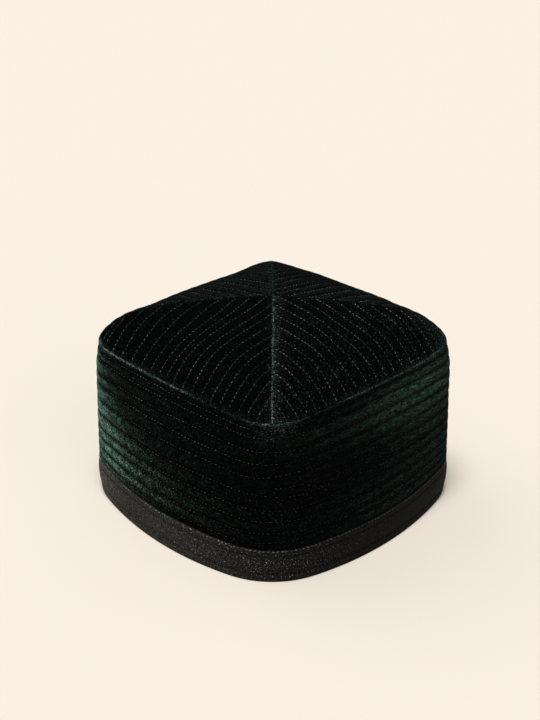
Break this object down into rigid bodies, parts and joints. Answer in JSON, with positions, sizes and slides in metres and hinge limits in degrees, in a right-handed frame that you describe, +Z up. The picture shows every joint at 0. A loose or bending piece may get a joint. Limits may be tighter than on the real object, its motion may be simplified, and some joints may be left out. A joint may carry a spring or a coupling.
{
  "type": "tubeteika skullcap",
  "caption": "Soft four-cornered tubeteika skullcap: a quilted velvet crown of gores over a ribbed upright wall, bound at the hem with a woven cloth band.",
  "frame": {"origin": "on the ground under the middle of the cap, which stands on its hem", "axes": "+Z up through the crown's peak; the four sides face +X, -X, +Y and -Y, and the corners point between them"},
  "size_m": [0.1734, 0.1734, 0.1144],
  "materials": {
    "green_velvet": "matt pile with a soft green sheen",
    "black_band_cloth": "matt woven"
  },
  "bodies": {
    "root": {"gore_front": "green_velvet", "gore_right": "green_velvet", "gore_back": "green_velvet", "gore_left": "green_velvet", "wall": "green_velvet", "hem_band": "black_band_cloth"}
  },
  "joints": []
}
